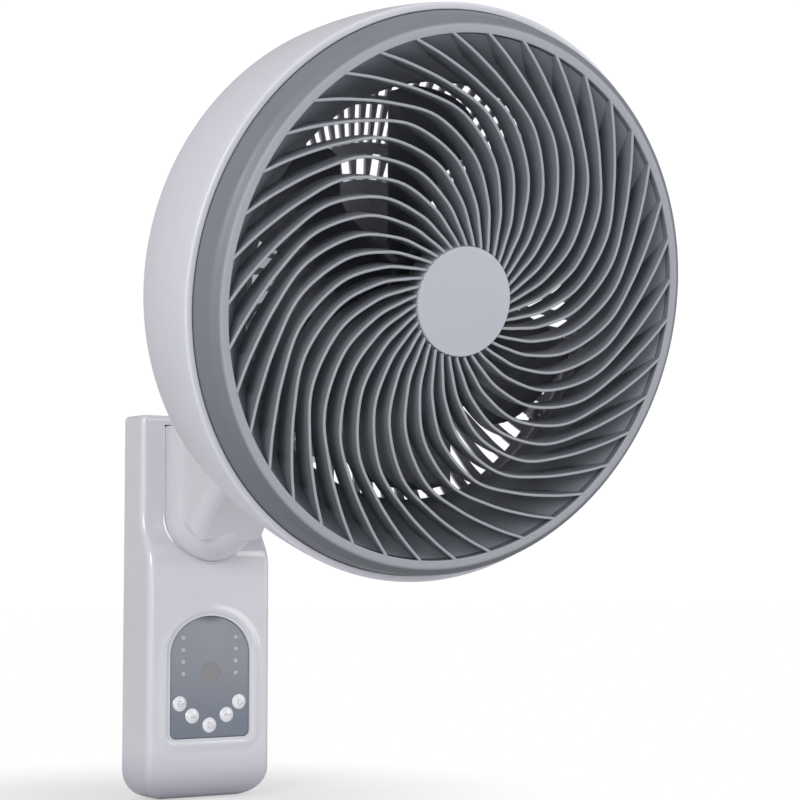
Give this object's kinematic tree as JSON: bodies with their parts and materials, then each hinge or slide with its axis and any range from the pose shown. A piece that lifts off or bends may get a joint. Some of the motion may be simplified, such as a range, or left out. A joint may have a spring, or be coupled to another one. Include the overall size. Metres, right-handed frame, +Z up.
{
  "type": "wall mounted fan",
  "caption": "Wall mounted fan: deep round drum head with curved radial vanes on a swivelling, tilting arm and a slim wall bracket with an arched control panel.",
  "frame": {"origin": "centre of the wall plate's back face, on the wall", "axes": "+Z up, +Y into the wall, so the fan faces -Y; +X to the right of the arm seen from the wall's far side, which is the viewer's right"},
  "size_m": [0.388, 0.4324, 0.5572],
  "materials": {
    "shell_white": "semi-gloss moulded",
    "bracket_white": "high gloss moulded",
    "grille_gray": "satin moulded",
    "cap_silver": "satin silver",
    "blade_charcoal": "satin moulded",
    "panel_gray": "glossy film",
    "smoked_window": "glossy",
    "lamp_clear": "frosted clear",
    "button_white": "gloss",
    "acetal": "smooth",
    "grommet_rubber": "matte",
    "circuit_board": "coated",
    "dark_electronics": "moulded",
    "zinc_steel": "zinc plated",
    "screw_steel": "zinc plated",
    "bearing_steel": "ground",
    "cast_aluminium": "cast",
    "laminated_iron": "stamped stack",
    "copper": "enamelled"
  },
  "bodies": {
    "bracket": {"wall_plate": "zinc_steel", "plate_screws": "screw_steel", "bracket_back_shell": "bracket_white", "bracket_front_shell": "bracket_white", "bracket_screws": "screw_steel", "neck_left_shell": "bracket_white", "neck_right_shell": "bracket_white", "neck_screws": "screw_steel", "swivel_bush": "acetal", "swivel_motor": "zinc_steel", "cable_grommet": "grommet_rubber", "control_panel": "panel_gray", "sensor_window": "smoked_window", "indicator_lamps": "lamp_clear", "tact_switches": "dark_electronics", "control_board": "circuit_board", "remote_receiver": "dark_electronics", "power_board": "circuit_board", "power_components": "dark_electronics", "board_screws": "screw_steel"},
    "swivel": {"swivel_shaft": "zinc_steel", "swivel_yoke": "bracket_white", "tilt_bolt": "screw_steel", "tilt_nut": "screw_steel"},
    "head": {"drum_shell": "shell_white", "shell_screws": "screw_steel", "rear_grille": "shell_white", "front_grille": "grille_gray", "hub_cap": "cap_silver", "air_duct_ring": "grille_gray", "motor_stator": "laminated_iron", "motor_windings": "copper", "motor_front_bracket": "cast_aluminium", "motor_rear_bracket": "cast_aluminium", "motor_screws": "screw_steel", "front_bearing": "bearing_steel", "rear_bearing": "bearing_steel", "motor_cover": "shell_white", "cover_screws": "screw_steel"},
    "rotor": {"fan_blade": "blade_charcoal", "blade_nut": "blade_charcoal", "motor_shaft": "bearing_steel", "motor_rotor": "laminated_iron"},
    "button_1": {"button_1": "button_white"},
    "button_2": {"button_2": "button_white"},
    "button_3": {"button_3": "button_white"},
    "button_4": {"button_4": "button_white"},
    "button_5": {"button_5": "button_white"}
  },
  "joints": [
    {"name": "head_swivel", "type": "hinge", "parent": "bracket", "child": "swivel", "pos_m": [0, -0.19903, 0.15], "axis": [0, 0, 1], "range_deg": [-40, 40]},
    {"name": "head_tilt", "type": "hinge", "parent": "swivel", "child": "head", "pos_m": [0, -0.19903, 0.16733], "axis": [1, 0, 0], "range_deg": [-20, 8]},
    {"name": "blade_spin", "type": "hinge", "parent": "head", "child": "rotor", "pos_m": [0, -0.3727, 0.2102], "axis": [0, -0.9755, -0.2198], "continuous": true},
    {"name": "button_1_press", "type": "slide", "parent": "bracket", "child": "button_1", "axis": [0, 1, 0], "range_m": [0, 0.001], "stiffness_N_per_m": 400, "springref_m": -0.002},
    {"name": "button_2_press", "type": "slide", "parent": "bracket", "child": "button_2", "axis": [0, 1, 0], "range_m": [0, 0.001], "stiffness_N_per_m": 400, "springref_m": -0.002},
    {"name": "button_3_press", "type": "slide", "parent": "bracket", "child": "button_3", "axis": [0, 1, 0], "range_m": [0, 0.001], "stiffness_N_per_m": 400, "springref_m": -0.002},
    {"name": "button_4_press", "type": "slide", "parent": "bracket", "child": "button_4", "axis": [0, 1, 0], "range_m": [0, 0.001], "stiffness_N_per_m": 400, "springref_m": -0.002},
    {"name": "button_5_press", "type": "slide", "parent": "bracket", "child": "button_5", "axis": [0, 1, 0], "range_m": [0, 0.001], "stiffness_N_per_m": 400, "springref_m": -0.002}
  ]
}
